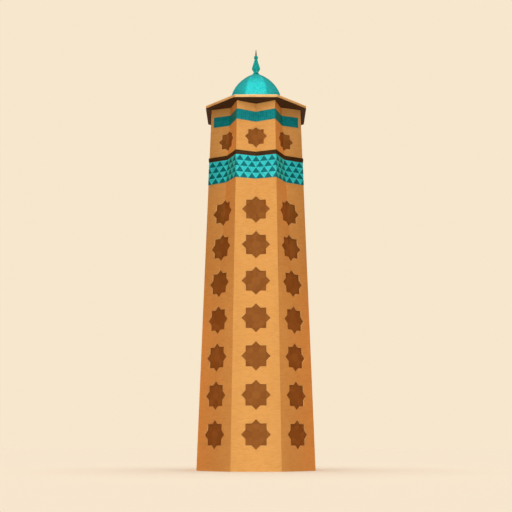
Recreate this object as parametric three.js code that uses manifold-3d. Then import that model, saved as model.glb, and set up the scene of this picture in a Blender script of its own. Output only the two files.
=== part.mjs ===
// A minaret: a tapering eight-sided brick tower whose faces fold inwards towards the top,
// with star inlays, two glazed bands, a wide cornice and a ribbed dome with a finial.
// Millimetres, +Z up. The origin is on the ground, on the tower's axis. Face 1 looks to -Y.

import * as THREE from 'three';
import { mergeVertices } from 'three/addons/utils/BufferGeometryUtils.js';
import Module from 'manifold-3d';

const wasm = await Module();
wasm.setup();

// Plan of the tower
const FACES = 8;
const FOOT_RADIUS = 4435; // to a corner, on the ground
const HEAD_RADIUS = 3630; // to a corner, under the cornice
const WELL_APOTHEM = 2000; // from the axis to a flat of the hollow inside
const CREASE_START = 11550; // height where the middle of a face starts to fold in
const CREASE_SLOPE = 0.047; // how far the fold goes in for each unit of height
const FOLD_STEP = 1500; // height between two bends of the twisted faces

// Heights
const SHAFT_TOP = 20510;
const TILE_BAND_TOP = 22265;
const STRING_TOP = 22600;
const TEAL_BOTTOM = 24995;
const TEAL_TOP = 25800;
const CORNICE_BOTTOM = 26450;

// Star inlays
const SHAFT_STARS = 7;
const FIRST_STAR_HEIGHT = 2410;
const STAR_PITCH = 2625;
const SHAFT_STAR_RADIUS = 1000; // to the points
const UPPER_STAR_HEIGHT = 23750;
const UPPER_STAR_RADIUS = 805;
const STAR_RECESS = 60;
const STAR_BACK = 300;
const STAR_JOINT = 10;
const SPINE_WIDTH = 500;
const SPINE_FRONT = 200;

// Bands
const BAND_DEPTH = 100;
const BAND_RELIEF = 20;
const STRING_RELIEF = 60;

// Cornice and roof
const SOFFIT_RADIUS = 4085;
const FASCIA_RADIUS = 4100;
const SOFFIT_THICKNESS = 73;
const SLAB_TOP = 26712;
const DECK_TOP = 26890;
const DECK_TOP_RADIUS = 2420;

// Dome
const DRUM_TOP = 27040;
const DRUM_RADIUS = 2270;
const DOME_RADIUS = 2130;
const DOME_RISE = 3000;
const DOME_SHELL = 200;
const DOME_FLAT_RADIUS = 200; // the small flat on top that carries the finial
const DOME_STEPS = 10;
const DOME_RISE_POWER = 2.2;
const DOME_ROUND_POWER = 0.8;

// Finial
const FINIAL_FOOT_RADIUS = 260;
const FINIAL_NECK_RADIUS = 180;
const FINIAL_NECK_RISE = 190;
const FINIAL_BELLY_RADIUS = 340;
const FINIAL_BELLY_HEIGHT = 30440;
const FINIAL_TOP_RADIUS = 115;
const FINIAL_TOP_HEIGHT = 31240;
const BELLY_ROUNDING = 0.2; // share of each slope that the rounded edge of the belly takes
const BALL_RADIUS = 160;
const BALL_HEIGHT = 31385;
const SPIKE_RADIUS = 68;
const SPIKE_TIP = 32070;
const ROUND_SEGMENTS = 16;

// Fits
const SEAT_GAP = 0.3;
const FAR = 40000; // larger than the whole tower
const WELD = 0.001;

// Values worked out from the ones above
const FACE_ANGLE = (2 * Math.PI) / FACES;
const HALF_FACE = FACE_ANGLE / 2;
const FLAT_SHARE = Math.cos(HALF_FACE);
const LEVELS = [0];
for (let level = CREASE_START; level < CORNICE_BOTTOM + FOLD_STEP; level += FOLD_STEP) {
  LEVELS.push(level);
}

const MATERIALS = {
  brick: new THREE.MeshStandardMaterial({ color: 0xeda655, roughness: 0.85, metalness: 0 }),
  terracotta: new THREE.MeshStandardMaterial({ color: 0x9c5b24, roughness: 0.8, metalness: 0 }),
  darkBrick: new THREE.MeshStandardMaterial({ color: 0x442b10, roughness: 0.85, metalness: 0 }),
  mosaicTile: new THREE.MeshStandardMaterial({ color: 0x2fb3b1, roughness: 0.3, metalness: 0 }),
  tealTile: new THREE.MeshStandardMaterial({ color: 0x0a7d7a, roughness: 0.3, metalness: 0 }),
  darkWood: new THREE.MeshStandardMaterial({ color: 0x442b10, roughness: 0.75, metalness: 0 }),
  paleStone: new THREE.MeshStandardMaterial({ color: 0xf0b670, roughness: 0.8, metalness: 0 }),
  domeTile: new THREE.MeshStandardMaterial({ color: 0x2cc4c0, roughness: 0.3, metalness: 0 }),
  finialGlaze: new THREE.MeshStandardMaterial({ color: 0x0aaaa2, roughness: 0.3, metalness: 0 }),
  bronze: new THREE.MeshStandardMaterial({ color: 0x7a5230, roughness: 0.45, metalness: 0.9 }),
};

const minaret = new THREE.Group();

// Joining and cutting

function toSolid(geometry) {
  geometry.deleteAttribute('normal');
  geometry.deleteAttribute('uv');
  const welded = mergeVertices(geometry, WELD);
  return new wasm.Manifold(
    new wasm.Mesh({
      numProp: 3,
      vertProperties: Float32Array.from(welded.attributes.position.array),
      triVerts: Uint32Array.from(welded.index.array),
    }),
  );
}

function toGeometry(solid) {
  const mesh = solid.getMesh();
  const geometry = new THREE.BufferGeometry();
  geometry.setAttribute('position', new THREE.BufferAttribute(mesh.vertProperties, 3));
  geometry.setIndex(new THREE.BufferAttribute(mesh.triVerts, 1));
  const faceted = geometry.toNonIndexed();
  faceted.computeVertexNormals();
  return faceted;
}

function addPiece(name, geometry, material, turn = 0) {
  const mesh = new THREE.Mesh(geometry, material);
  mesh.name = name;
  mesh.rotation.z = turn;
  minaret.add(mesh);
}

function addOnEachFace(name, solid, material) {
  const geometry = toGeometry(solid);
  for (let face = 0; face < FACES; face += 1) {
    addPiece(`${name}_${face + 1}`, geometry, material, face * FACE_ANGLE);
  }
}

// The folded plan: even corners are the middles of faces, odd corners are the tower's edges

function edgeRadiusAt(height) {
  return FOOT_RADIUS + ((HEAD_RADIUS - FOOT_RADIUS) * height) / CORNICE_BOTTOM;
}

function wallRadius(corner, height, inset) {
  const flat = edgeRadiusAt(height) * FLAT_SHARE;
  const crease = flat - Math.max(0, height - CREASE_START) * CREASE_SLOPE;
  if (corner % 2 === 0) {
    return crease - inset;
  }
  return (flat * (1 - inset / crease)) / FLAT_SHARE;
}

function wellRadius(corner) {
  return corner % 2 === 0 ? WELL_APOTHEM : WELL_APOTHEM / FLAT_SHARE;
}

function planPoint(corner, radius) {
  return new THREE.Vector2(radius * Math.cos(corner * HALF_FACE), radius * Math.sin(corner * HALF_FACE));
}

// A closed ring that follows the folded plan from level to level, as an extrusion of its
// top outline whose corners are then moved in or out at every level
function foldedRing(outerRadius, innerRadius) {
  const top = LEVELS.at(-1);
  const corners = Array.from({ length: 2 * FACES }, (_, corner) => corner);
  const outline = new THREE.Shape(corners.map((corner) => planPoint(corner, outerRadius(corner, top))));
  outline.holes.push(new THREE.Path(corners.map((corner) => planPoint(corner, innerRadius(corner, top)))));
  const steps = LEVELS.length - 1;
  const geometry = new THREE.ExtrudeGeometry(outline, { depth: steps, steps, bevelEnabled: false });
  const position = geometry.attributes.position;
  for (let i = 0; i < position.count; i += 1) {
    const across = new THREE.Vector2(position.getX(i), position.getY(i));
    const corner = Math.round(across.angle() / HALF_FACE) % (2 * FACES);
    const middle = (outerRadius(corner, top) + innerRadius(corner, top)) / 2;
    const radiusAt = across.length() > middle ? outerRadius : innerRadius;
    const height = LEVELS[Math.round(position.getZ(i))];
    const placed = planPoint(corner, radiusAt(corner, height));
    position.setXYZ(i, placed.x, placed.y, height);
  }
  return toSolid(geometry);
}

function layer(front, back) {
  return foldedRing(
    (corner, height) => wallRadius(corner, height, front),
    (corner, height) => wallRadius(corner, height, back),
  );
}

function between(solid, bottom, top) {
  const slice = new THREE.BoxGeometry(FAR, FAR, top - bottom);
  slice.translate(0, 0, (top + bottom) / 2);
  return solid.intersect(toSolid(slice));
}

// The wedge of plan that belongs to face 1, a seat gap narrower than an eighth of the circle
function faceWedge() {
  const reach = 2 * FOOT_RADIUS;
  const halfGap = SEAT_GAP / 2 / Math.cos(HALF_FACE);
  const halfWidth = reach * Math.tan(HALF_FACE) - halfGap;
  const outline = new THREE.Shape([
    new THREE.Vector2(0, -halfGap / Math.tan(HALF_FACE)),
    new THREE.Vector2(-halfWidth, -reach),
    new THREE.Vector2(halfWidth, -reach),
  ]);
  return toSolid(new THREE.ExtrudeGeometry(outline, { depth: FAR, bevelEnabled: false }));
}

// An eight-pointed star made of two crossed squares, as a prism through face 1
function starPrism(radius, height) {
  const notch = (radius * Math.cos(Math.PI / 4)) / Math.cos(Math.PI / 8);
  const points = [];
  for (let i = 0; i < 16; i += 1) {
    const reach = i % 2 === 0 ? radius : notch;
    const angle = (i * Math.PI) / 8;
    points.push(new THREE.Vector2(reach * Math.cos(angle), reach * Math.sin(angle)));
  }
  const prism = new THREE.ExtrudeGeometry(new THREE.Shape(points), { depth: 2 * FOOT_RADIUS, bevelEnabled: false });
  prism.rotateX(Math.PI / 2);
  prism.translate(0, 0, height);
  return toSolid(prism);
}

function spineBlock(width, bottom, top) {
  const block = new THREE.BoxGeometry(width, 2 * FOOT_RADIUS, top - bottom);
  block.translate(0, -FOOT_RADIUS, (top + bottom) / 2);
  return toSolid(block);
}

// Walls of the shaft, with star-shaped recesses and the chase that holds the stars' spine

const wall = foldedRing((corner, height) => wallRadius(corner, height, 0), wellRadius);
const outsideFace = wall.intersect(faceWedge());
const recessLayer = layer(-STRING_RELIEF, STAR_BACK + SEAT_GAP);
const starLayer = layer(STAR_RECESS, STAR_BACK);
const chaseLayer = layer(SPINE_FRONT - STAR_JOINT, STAR_BACK + SEAT_GAP);
const spineLayer = layer(SPINE_FRONT, STAR_BACK);
const lastStarHeight = FIRST_STAR_HEIGHT + (SHAFT_STARS - 1) * STAR_PITCH;

let shaftWall = between(outsideFace, 0, SHAFT_TOP);
let shaftStars = spineBlock(SPINE_WIDTH, FIRST_STAR_HEIGHT, lastStarHeight).intersect(spineLayer);
const chase = spineBlock(SPINE_WIDTH + 2 * STAR_JOINT, FIRST_STAR_HEIGHT, lastStarHeight);
shaftWall = shaftWall.subtract(chase.intersect(chaseLayer));
for (let row = 0; row < SHAFT_STARS; row += 1) {
  const height = FIRST_STAR_HEIGHT + row * STAR_PITCH;
  const recess = starPrism(SHAFT_STAR_RADIUS + STAR_JOINT, height);
  shaftWall = shaftWall.subtract(recess.intersect(recessLayer));
  shaftStars = shaftStars.add(starPrism(SHAFT_STAR_RADIUS, height).intersect(starLayer));
}
addOnEachFace('shaft_wall', shaftWall, MATERIALS.brick);
addOnEachFace('shaft_stars', shaftStars, MATERIALS.terracotta);

// Walls of the upper storey, cut back where the bands lie in them

const lowBandSeat = layer(-2 * STRING_RELIEF, BAND_DEPTH + SEAT_GAP);
let upperWall = between(outsideFace, SHAFT_TOP + SEAT_GAP, CORNICE_BOTTOM);
upperWall = upperWall.subtract(between(lowBandSeat, 0, STRING_TOP + SEAT_GAP));
upperWall = upperWall.subtract(between(lowBandSeat, TEAL_BOTTOM - SEAT_GAP, TEAL_TOP + SEAT_GAP));
const upperRecess = starPrism(UPPER_STAR_RADIUS + STAR_JOINT, UPPER_STAR_HEIGHT);
upperWall = upperWall.subtract(upperRecess.intersect(recessLayer));
addOnEachFace('upper_wall', upperWall, MATERIALS.brick);
addOnEachFace(
  'upper_star',
  starPrism(UPPER_STAR_RADIUS, UPPER_STAR_HEIGHT).intersect(starLayer),
  MATERIALS.terracotta,
);

// Bands that run round the tower

function addBand(name, relief, bottom, top, material) {
  addPiece(name, toGeometry(between(layer(-relief, BAND_DEPTH), bottom, top)), material);
}

addBand('mosaic_band', BAND_RELIEF, SHAFT_TOP + SEAT_GAP, TILE_BAND_TOP, MATERIALS.mosaicTile);
addBand('string_course', STRING_RELIEF, TILE_BAND_TOP + SEAT_GAP, STRING_TOP, MATERIALS.darkBrick);
addBand('teal_band', BAND_RELIEF, TEAL_BOTTOM, TEAL_TOP, MATERIALS.tealTile);

// Cornice: a boarded soffit whose dark edge shows under the light edge of the slab

function octagon(radius) {
  const corners = Array.from({ length: FACES }, (_, corner) => planPoint(2 * corner + 1, radius));
  return new THREE.Shape(corners);
}

function plate(outline, bottom, top) {
  const geometry = new THREE.ExtrudeGeometry(outline, { depth: top - bottom, bevelEnabled: false });
  geometry.translate(0, 0, bottom);
  return geometry;
}

const soffitBottom = CORNICE_BOTTOM + SEAT_GAP;
const soffitTop = CORNICE_BOTTOM + SOFFIT_THICKNESS;
const soffit = octagon(SOFFIT_RADIUS);
soffit.holes.push(octagon(WELL_APOTHEM / FLAT_SHARE));
addPiece('cornice_soffit', plate(soffit, soffitBottom, soffitTop), MATERIALS.darkWood);

const slabBottom = soffitTop + SEAT_GAP;
addPiece('cornice_slab', plate(octagon(FASCIA_RADIUS), slabBottom, SLAB_TOP), MATERIALS.paleStone);

// Roof: a low eight-sided hump that sheds rain from the dome to the cornice

function eightSided(points) {
  const geometry = new THREE.LatheGeometry(points, FACES);
  geometry.rotateX(Math.PI / 2);
  geometry.rotateZ(HALF_FACE);
  return toGeometry(toSolid(geometry));
}

addPiece(
  'roof_deck',
  eightSided([
    new THREE.Vector2(0, SLAB_TOP + SEAT_GAP),
    new THREE.Vector2(FASCIA_RADIUS, SLAB_TOP + SEAT_GAP),
    new THREE.Vector2(DECK_TOP_RADIUS, DECK_TOP),
    new THREE.Vector2(0, DECK_TOP),
  ]),
  MATERIALS.paleStone,
);

// Dome: a ring wall and an eight-ribbed shell

const drumInside = DOME_RADIUS - DOME_SHELL;
addPiece(
  'dome_drum',
  eightSided([
    new THREE.Vector2(drumInside, DECK_TOP + SEAT_GAP),
    new THREE.Vector2(DRUM_RADIUS, DECK_TOP + SEAT_GAP),
    new THREE.Vector2(DRUM_RADIUS, DRUM_TOP),
    new THREE.Vector2(drumInside, DRUM_TOP),
    new THREE.Vector2(drumInside, DECK_TOP + SEAT_GAP),
  ]),
  MATERIALS.brick,
);

function domeRadius(share) {
  return DOME_RADIUS * (1 - share ** DOME_RISE_POWER) ** DOME_ROUND_POWER;
}

// Share of the dome's rise where its radius has fallen to that of the flat on top
const flatShare = (1 - (DOME_FLAT_RADIUS / DOME_RADIUS) ** (1 / DOME_ROUND_POWER)) ** (1 / DOME_RISE_POWER);
const domeBottom = DRUM_TOP + SEAT_GAP;
const domeTop = domeBottom + flatShare * DOME_RISE;
const insideScale = drumInside / DOME_RADIUS;
const outerCurve = [];
for (let step = 0; step <= DOME_STEPS; step += 1) {
  const share = flatShare * Math.sin((step / DOME_STEPS) * (Math.PI / 2));
  outerCurve.push(new THREE.Vector2(domeRadius(share), domeBottom + share * DOME_RISE));
}
const innerCurve = outerCurve.map(
  (point) => new THREE.Vector2(point.x * insideScale, domeBottom + (point.y - domeBottom) * insideScale),
);
const insideCrown = new THREE.Vector2(0, innerCurve.at(-1).y);
addPiece(
  'dome_shell',
  eightSided([insideCrown, ...innerCurve.toReversed(), ...outerCurve, new THREE.Vector2(0, domeTop)]),
  MATERIALS.domeTile,
);

// Finial: a glazed spindle, a ball and a bronze spike on the dome's crown

function turned(points) {
  const geometry = new THREE.LatheGeometry(points, ROUND_SEGMENTS);
  geometry.rotateX(Math.PI / 2);
  return toGeometry(toSolid(geometry));
}

const finialBottom = domeTop + SEAT_GAP;
const neckHeight = finialBottom + FINIAL_NECK_RISE;
const neck = new THREE.Vector2(FINIAL_NECK_RADIUS, neckHeight);
const bellyEdge = new THREE.Vector2(FINIAL_BELLY_RADIUS, FINIAL_BELLY_HEIGHT);
const spindleTop = new THREE.Vector2(FINIAL_TOP_RADIUS, FINIAL_TOP_HEIGHT);
const foot = new THREE.QuadraticBezierCurve(
  new THREE.Vector2(FINIAL_FOOT_RADIUS, finialBottom),
  new THREE.Vector2(FINIAL_NECK_RADIUS, finialBottom + FINIAL_NECK_RISE / 4),
  neck,
);
const belly = new THREE.QuadraticBezierCurve(
  bellyEdge.clone().lerp(neck, BELLY_ROUNDING),
  bellyEdge,
  bellyEdge.clone().lerp(spindleTop, BELLY_ROUNDING),
);
addPiece(
  'finial_spindle',
  turned([
    new THREE.Vector2(0, finialBottom),
    ...foot.getPoints(3),
    ...belly.getPoints(3),
    spindleTop,
    new THREE.Vector2(0, FINIAL_TOP_HEIGHT),
  ]),
  MATERIALS.finialGlaze,
);

const ballBottom = FINIAL_TOP_HEIGHT + SEAT_GAP;
const ballTop = BALL_HEIGHT + Math.sqrt(BALL_RADIUS ** 2 - SPIKE_RADIUS ** 2);
const ball = new THREE.SphereGeometry(BALL_RADIUS, ROUND_SEGMENTS, 8);
ball.rotateX(Math.PI / 2);
ball.translate(0, 0, BALL_HEIGHT);
addPiece('finial_ball', toGeometry(between(toSolid(ball), ballBottom, ballTop)), MATERIALS.finialGlaze);

addPiece(
  'finial_spike',
  turned([
    new THREE.Vector2(0, ballTop + SEAT_GAP),
    new THREE.Vector2(SPIKE_RADIUS, ballTop + SEAT_GAP),
    new THREE.Vector2(0, SPIKE_TIP),
  ]),
  MATERIALS.bronze,
);

export default minaret;
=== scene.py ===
import math

import bmesh
import bpy
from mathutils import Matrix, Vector


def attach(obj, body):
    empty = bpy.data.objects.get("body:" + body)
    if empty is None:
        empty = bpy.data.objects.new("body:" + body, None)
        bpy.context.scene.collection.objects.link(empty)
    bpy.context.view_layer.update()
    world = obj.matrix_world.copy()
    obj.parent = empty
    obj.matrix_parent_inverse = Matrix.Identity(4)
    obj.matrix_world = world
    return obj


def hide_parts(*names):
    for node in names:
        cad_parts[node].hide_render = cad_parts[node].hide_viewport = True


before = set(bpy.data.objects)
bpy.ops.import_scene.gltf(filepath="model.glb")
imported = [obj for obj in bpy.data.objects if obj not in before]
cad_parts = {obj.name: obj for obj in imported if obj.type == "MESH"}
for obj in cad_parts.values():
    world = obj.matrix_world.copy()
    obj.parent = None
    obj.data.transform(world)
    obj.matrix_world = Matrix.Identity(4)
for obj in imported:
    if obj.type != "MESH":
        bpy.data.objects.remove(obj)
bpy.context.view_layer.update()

# Camera and studio
# The tower is seen from the ground, 63 m in front of it, looking up a little. Floor and backdrop are
# one pale cream. The light is soft: tall strips that lean like the faces and reach below the floor,
# warmer ones at the sides, low suns behind and a faint fill.

EYE_DISTANCE = 63
EYE_HEIGHT = 1.6
EYE_TILT = 12.42
CREAM = (0.93, 0.80, 0.61, 1)
FLOOR_PAINT = (0.85, 0.755, 0.61, 1)
FLOOR_RADIUS = 900
FILL_LIGHT = (1.0, 0.8, 0.6, 1)
FILL_ABOVE = 0.3
FILL_AROUND = 0.04
STRIP_WIDTH = 3
STRIP_TILT = 88.4
WARM_LIGHT = (1.0, 0.6, 0.36)

scene = bpy.context.scene
scene.view_settings.view_transform = "Standard"
bpy.ops.object.camera_add(
    location=(0, -EYE_DISTANCE, EYE_HEIGHT), rotation=(math.radians(90 + EYE_TILT), 0, 0))
camera = bpy.context.object
camera.data.lens = 60.96
camera.data.sensor_width = 36
camera.data.clip_end = 2000
scene.camera = camera


class Wire:
    """One output of a node. Sums on wires are written as Python expressions, which add the Math nodes."""

    def __init__(self, tree, socket=None):
        self.tree = tree
        self.socket = socket

    def node(self, kind, settings=None, inputs=None, output=0):
        made = self.tree.nodes.new("ShaderNode" + kind)
        for key, value in (settings or {}).items():
            if key == "stops":
                ramp = made.color_ramp
                while len(ramp.elements) < len(value):
                    ramp.elements.new(1.0)
                for element, (position, color) in zip(ramp.elements, value):
                    element.position = position
                    element.color = (*color, 1)
            else:
                setattr(made, key, value)
        for key, value in (inputs or {}).items():
            if isinstance(value, Wire):
                self.tree.links.new(value.socket, made.inputs[key])
            else:
                made.inputs[key].default_value = value
        return Wire(self.tree, made.outputs[output] if made.outputs else None)

    def maths(self, operation, first, second=0.0):
        return self.node("Math", {"operation": operation}, {0: first, 1: second})

    def __add__(self, other):
        return self.maths("ADD", self, other)

    def __sub__(self, other):
        return self.maths("SUBTRACT", self, other)

    def __rsub__(self, other):
        return self.maths("SUBTRACT", other, self)

    def __mul__(self, other):
        return self.maths("MULTIPLY", self, other)

    __radd__ = __add__
    __rmul__ = __mul__

    def between(self, low, high):
        """This wire's rise from low to high, as 0 to 1."""
        return self.node("MapRange", {"interpolation_type": "SMOOTHSTEP"}, {0: self, 1: low, 2: high})

    def mix(self, share, first, second):
        return self.node("Mix", {"data_type": "RGBA"}, {0: share, 6: first, 7: second}, 2)

    def blend(self, first, second):
        """The first color where this wire is 0 and the second where it is 1."""
        return self.mix(self, first, second)


def new_material(name, roughness, **sockets):
    """A material with one shader, and a wire on its tree to build the rest with."""
    material = bpy.data.materials.new(name)
    material.use_nodes = True
    shader = material.node_tree.nodes["Principled BSDF"]
    shader.inputs["Roughness"].default_value = roughness
    for socket, value in sockets.items():
        shader.inputs[socket.replace("_", " ")].default_value = value
    return material, shader, Wire(material.node_tree)


def feed(wire, shader, socket):
    wire.tree.links.new(wire.socket, shader.inputs[socket])


bpy.ops.mesh.primitive_circle_add(vertices=96, radius=FLOOR_RADIUS, fill_type="NGON")
floor = bpy.context.object
floor.name = "studio_floor"
floor_paint, _, _ = new_material("studio_floor", 0.9, Base_Color=FLOOR_PAINT, Specular_IOR_Level=0)
floor.data.materials.append(floor_paint)
floor.visible_diffuse = False
floor.visible_shadow = False

world = bpy.data.worlds.new("studio")
scene.world = world
world.use_nodes = True
world.node_tree.nodes.clear()
sky = Wire(world.node_tree)
seen = sky.node("LightPath")
upward = sky.node("SeparateXYZ", inputs={0: sky.node("TexCoord")}, output="Z")
strength = upward.between(0.3, 0.95) * FILL_ABOVE + FILL_AROUND
fill = sky.node("Background", inputs={"Color": FILL_LIGHT, "Strength": strength})
backdrop = sky.node("Background", inputs={"Color": CREAM, "Strength": 1.0})
sky.node("OutputWorld", inputs={0: sky.node("MixShader", inputs={0: seen, 1: fill, 2: backdrop})})


def light_only(light, kept, state):
    """The light falls only on the kept objects, or on all but them."""
    group = bpy.data.collections.new(light.name + "_reach")
    for lit in kept:
        group.objects.link(lit)
    for member in group.collection_objects:
        member.light_linking.link_state = state
    light.light_linking.receiver_collection = group


def tall_strip(azimuth, distance, low, high, power, color=(1.0, 1.0, 1.0)):
    """A tall strip of soft light that leans like the tower's faces, with so much power to a metre."""
    turn = math.radians(azimuth)
    bpy.ops.object.light_add(
        type="AREA", rotation=(math.radians(STRIP_TILT), 0, turn),
        location=(distance * math.sin(turn), -distance * math.cos(turn), (low + high) / 2))
    strip = bpy.context.object
    strip.data.shape = "RECTANGLE"
    strip.data.size = STRIP_WIDTH
    strip.data.size_y = high - low
    strip.data.energy = power * (high - low)
    strip.data.color = color
    strip.visible_camera = False
    return strip


front_strip = tall_strip(0, distance=10.5, low=-30, high=46, power=43.4)
side_strips = []
for side in (-1, 1):
    side_strips.append(tall_strip(side * 70, distance=9, low=-30, high=12, power=15.6, color=WARM_LIGHT))
    side_strips.append(tall_strip(side * 98, distance=12, low=12, high=46, power=54.7, color=WARM_LIGHT))
for strip in side_strips:
    strip.visible_glossy = False


def soft_sun(azimuth):
    """A soft, low sun behind the tower. It lights the matt surfaces and leaves no glare on the glazes."""
    bpy.ops.object.light_add(type="SUN", rotation=(math.radians(78), 0, math.radians(azimuth)))
    sun = bpy.context.object
    sun.data.energy = 1.5
    sun.data.color = (1.0, 0.94, 0.86)
    sun.data.angle = math.radians(20)
    sun.visible_glossy = False
    return sun


for light in [front_strip, *side_strips, soft_sun(150), soft_sun(-150)]:
    light_only(light, [floor], "EXCLUDE")

bpy.ops.object.light_add(type="SUN")
floor_sun = bpy.context.object
floor_sun.data.energy = 2.75
floor_sun.data.angle = math.radians(60)
light_only(floor_sun, [floor], "INCLUDE")

# Shaft walls
# Eight tapering faces of buff fired brick in stretcher courses, laid in pale mortar. From 11.55 m up
# the middle of each face folds in, so the bricks there are cut at the fold. They are also cut to the
# outlines of the stars.

FACES = 8
FACE_ANGLE = 2 * math.pi / FACES
HALF_FACE = FACE_ANGLE / 2
FOOT_RADIUS = 4.435
HEAD_RADIUS = 3.63
CORNICE_BOTTOM = 26.45
CREASE_START = 11.55
CREASE_SLOPE = 0.047
SHAFT_TOP = 20.51
SHAFT_STARS = [2.41 + 2.625 * row for row in range(7)]
RECESS_RADIUS = 1.01
BRICK_LENGTH = 0.27
BRICK_DEPTH = 0.014
NARROWEST_BRICK = 0.018
COURSES = 280
COURSE = SHAFT_TOP / COURSES
SHAFT_COLUMNS = 14
JOINT = 0.0055
CHAMFER = 0.003
MORTAR_FRONT = 0.009
MORTAR_BACK = 0.07
MORTAR_ROOM = 0.002
CORE_SHARE = 0.988
MERGED = 0.00005
SLACK = 0.001
NEAR_FACE = 0.035
NEAR_STAR = 0.2


def flat_at(height):
    """From the axis to the line between two edges of the tower."""
    edge = FOOT_RADIUS + (HEAD_RADIUS - FOOT_RADIUS) * height / CORNICE_BOTTOM
    return edge * math.cos(HALF_FACE)


def crease_at(height):
    """From the axis to the fold in the middle of a face."""
    return flat_at(height) - max(0.0, height - CREASE_START) * CREASE_SLOPE


def half_width(height):
    return flat_at(height) * math.tan(HALF_FACE)


def fold_at(height):
    """How far the face comes forward for each metre from its middle."""
    return (flat_at(height) - crease_at(height)) / half_width(height)


def take_up(piece):
    """Select this piece and nothing else."""
    bpy.ops.object.select_all(action="DESELECT")
    piece.select_set(True)
    bpy.context.view_layer.objects.active = piece


def open_up(piece):
    """Edit mode on one piece, with all of it selected."""
    take_up(piece)
    bpy.ops.object.mode_set(mode="EDIT")
    bpy.ops.mesh.select_mode(type="FACE")
    bpy.ops.mesh.select_all(action="SELECT")


def close_up():
    bpy.ops.object.mode_set(mode="OBJECT")


def pick(piece, wanted):
    """Select the faces of the open piece for which wanted(face) holds, and say how many there are."""
    bpy.ops.mesh.select_all(action="DESELECT")
    mesh = bmesh.from_edit_mesh(piece.data)
    count = 0
    for face in mesh.faces:
        if wanted(face):
            face.select_set(True)
            count += 1
    bmesh.update_edit_mesh(piece.data, loop_triangles=False, destructive=False)
    return count


def pick_corners(piece, wanted):
    bpy.ops.mesh.select_mode(type="VERT")
    bpy.ops.mesh.select_all(action="DESELECT")
    mesh = bmesh.from_edit_mesh(piece.data)
    for vert in mesh.verts:
        if wanted(vert.co):
            vert.select_set(True)
    bmesh.update_edit_mesh(piece.data, loop_triangles=False, destructive=False)


def sheet(name, width, bottom, top, columns, rows):
    """A flat sheet of cells that faces the front, with its middle on the axis."""
    bpy.ops.object.select_all(action="DESELECT")
    bpy.ops.mesh.primitive_grid_add(
        x_subdivisions=columns, y_subdivisions=rows, size=1, rotation=(math.pi / 2, 0, 0),
        location=(0, 0, (bottom + top) / 2))
    piece = bpy.context.object
    piece.name = name
    piece.scale = (width, top - bottom, 1)
    bpy.ops.object.transform_apply()
    return piece


def trim(point, direction, wanted=None, piece=None, clear=True):
    """Cut the picked cells along a line, and take away what lies beyond it."""
    if wanted is None:
        bpy.ops.mesh.select_all(action="SELECT")
    elif not pick(piece, wanted):
        return
    bpy.ops.mesh.bisect(plane_co=point, plane_no=direction, clear_outer=clear)


def trim_to_width(margin):
    """Trim the open sheet to the tapering width of a face."""
    lean = half_width(0) - half_width(1)
    for side in (-1, 1):
        trim((side * (half_width(0) + margin), 0, 0), (side, 0, lean))


def part_cells():
    """Part every cell of the open sheet from its neighbours."""
    bpy.ops.mesh.select_all(action="SELECT")
    bpy.ops.mesh.edge_split(type="EDGE")


def cut_at_fold(piece):
    """Cut the cells that reach over the fold in the middle of the face."""

    def over_the_fold(face):
        reach = [vert.co.x for vert in face.verts]
        return face.calc_center_median().z > CREASE_START and min(reach) < -SLACK and max(reach) > SLACK

    trim((0, 0, 0), (1, 0, 0), over_the_fold, piece, clear=False)


def stagger(piece, bottom, course, length):
    """Part the cells of the open sheet, and move every second course on by half a brick."""
    part_cells()
    pick(piece, lambda face: int((face.calc_center_median().z - bottom) / course) % 2)
    bpy.ops.transform.translate(value=(length / 2, 0, 0))


def cut_star(piece, height, radius):
    """Cut the open sheet along the outline of an eight-pointed star, and take the inside away."""
    reach = radius * math.cos(math.pi / 4)
    center = Vector((0, 0, height))
    for side in range(8):
        across = Vector((math.cos(side * math.pi / 4), 0, math.sin(side * math.pi / 4)))
        along = Vector((-across.z, 0, across.x))

        def crosses(face):
            middle = face.calc_center_median() - center
            if max(abs(middle.z), abs(middle.x)) > radius + NEAR_STAR:
                return False
            spots = [vert.co - center for vert in face.verts]
            offsets = [spot.dot(across) - reach for spot in spots]
            spans = []
            for number, offset in enumerate(offsets):
                before = offsets[number - 1]
                if (before < 0) != (offset < 0):
                    crossing = spots[number - 1].lerp(spots[number], before / (before - offset))
                    spans.append(crossing.dot(along))
            return bool(spans) and min(spans) < reach and max(spans) > -reach

        trim(center + across * reach, across, crosses, piece, clear=False)

    def inside(face):
        middle = face.calc_center_median() - center
        straight = max(abs(middle.x), abs(middle.z))
        turned = (abs(middle.x) + abs(middle.z)) * math.cos(math.pi / 4)
        return min(straight, turned) < reach

    if pick(piece, inside):
        bpy.ops.mesh.delete(type="FACE")


def drop_slivers(piece, least):
    """Take away the cells that are too narrow to be cut from a brick."""
    bpy.ops.mesh.select_all(action="SELECT")
    bpy.ops.mesh.dissolve_degenerate(threshold=least * 2 / 3)
    if pick(piece, lambda face: 2 * face.calc_area() < least * face.calc_perimeter()):
        bpy.ops.mesh.delete(type="FACE")


def number_cells(piece):
    """Number every cell on the UV map. The finishes take the tone of a brick or tile from its number."""
    mesh = bmesh.from_edit_mesh(piece.data)
    layer = mesh.loops.layers.uv.verify()
    for number, face in enumerate(mesh.faces):
        for loop in face.loops:
            loop[layer].uv = (number + 0.5, 0.5)
    bmesh.update_edit_mesh(piece.data)


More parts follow.
